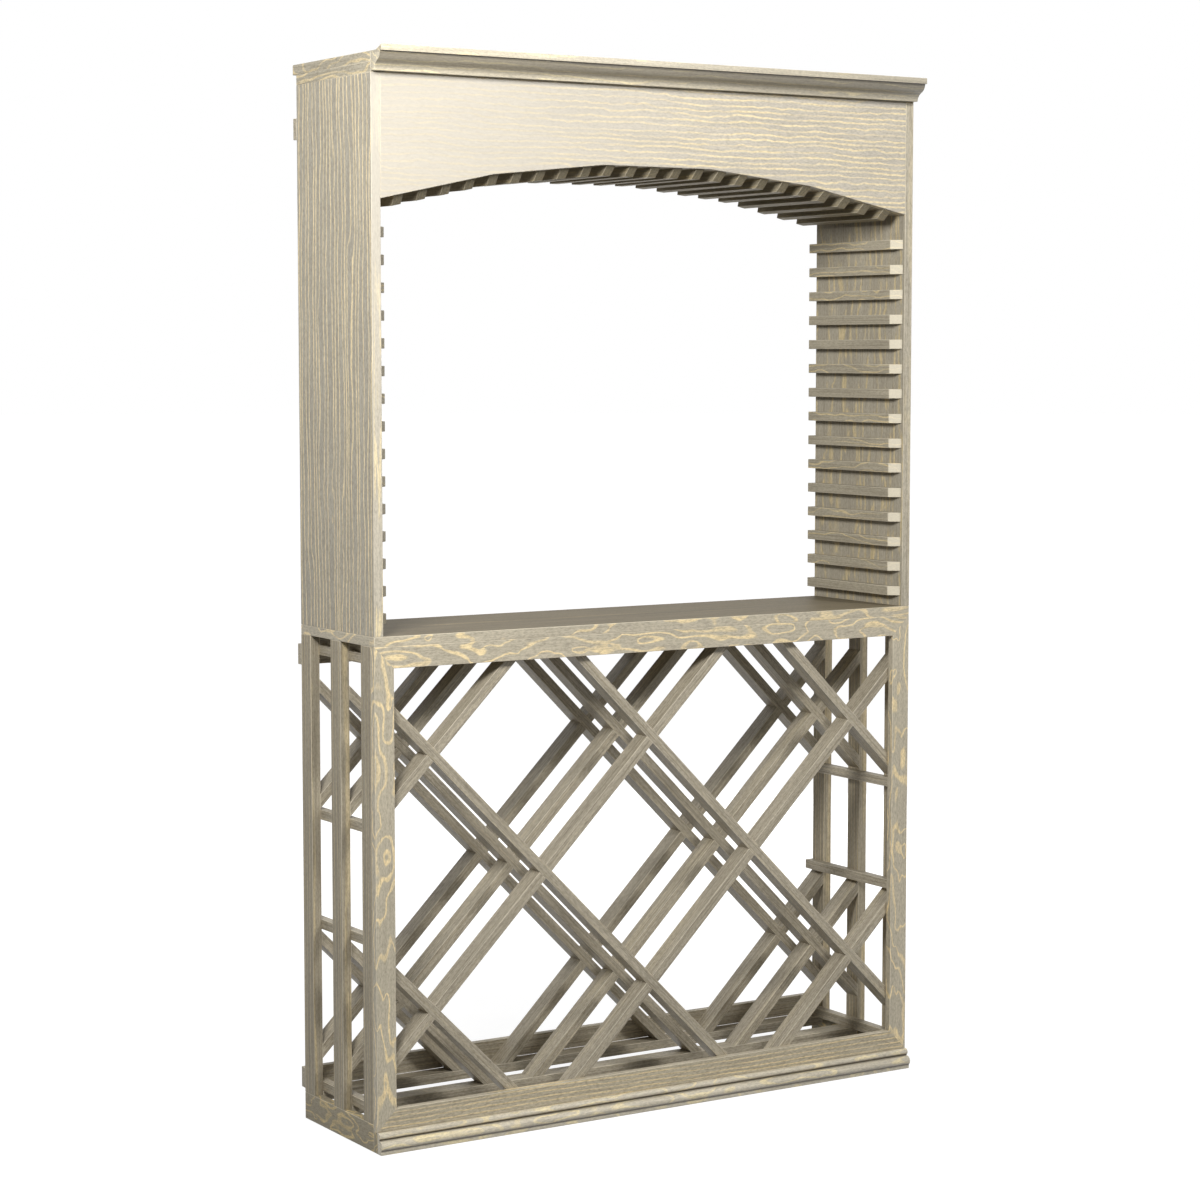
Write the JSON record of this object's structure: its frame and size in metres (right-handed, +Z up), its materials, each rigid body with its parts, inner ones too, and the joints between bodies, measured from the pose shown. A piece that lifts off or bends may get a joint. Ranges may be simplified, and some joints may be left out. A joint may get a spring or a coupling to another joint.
{
  "type": "wine tasting station",
  "caption": "Free-standing wine tasting station: a diamond-bin bottle base under a standing-height table, and a slatted display bay with an arched valance and a crown moulding.",
  "frame": {"origin": "on the floor, under the middle of the station's outer box", "axes": "+X along the width to the viewer's right, +Y from front to back, +Z up"},
  "size_m": [1.172, 0.341, 1.9265],
  "materials": {
    "board_wood": "matte grey wash, open grain",
    "moulding_wood": "matte grey wash, open grain",
    "strip_wood": "matte grey wash, open grain"
  },
  "bodies": {
    "root": {"table_top": "board_wood", "front_plinth": "board_wood", "base_left_stile": "board_wood", "base_right_stile": "board_wood", "base_top_rail": "board_wood", "base_bottom_rail": "board_wood", "left_skirt": "board_wood", "right_skirt": "board_wood", "left_panel": "board_wood", "right_panel": "board_wood", "valance": "board_wood", "rear_arch_board": "board_wood", "soffit_panel": "board_wood", "top_board": "board_wood", "roof_board": "board_wood", "base_moulding": "moulding_wood", "crown_moulding": "moulding_wood", "base_rear_top_cleat": "strip_wood", "base_rear_bottom_cleat": "strip_wood", "upper_rear_cleat": "strip_wood", "left_slats": "strip_wood", "right_slats": "strip_wood", "ceiling_slats": "strip_wood", "left_top_side_cleat": "strip_wood", "left_upper_side_cleat": "strip_wood", "left_lower_side_cleat": "strip_wood", "left_bottom_side_cleat": "strip_wood", "left_front_post": "strip_wood", "left_middle_post": "strip_wood", "left_rear_post": "strip_wood", "right_top_side_cleat": "strip_wood", "right_upper_side_cleat": "strip_wood", "right_lower_side_cleat": "strip_wood", "right_bottom_side_cleat": "strip_wood", "right_front_post": "strip_wood", "right_middle_post": "strip_wood", "right_rear_post": "strip_wood", "lattice_front_top_rail": "strip_wood", "lattice_front_bottom_rail": "strip_wood", "lattice_front_rising_strips": "strip_wood", "lattice_front_falling_strips": "strip_wood", "lattice_middle_top_rail": "strip_wood", "lattice_middle_bottom_rail": "strip_wood", "lattice_middle_rising_strips": "strip_wood", "lattice_middle_falling_strips": "strip_wood", "lattice_rear_top_rail": "strip_wood", "lattice_rear_bottom_rail": "strip_wood", "lattice_rear_rising_strips": "strip_wood", "lattice_rear_falling_strips": "strip_wood"}
  },
  "joints": []
}
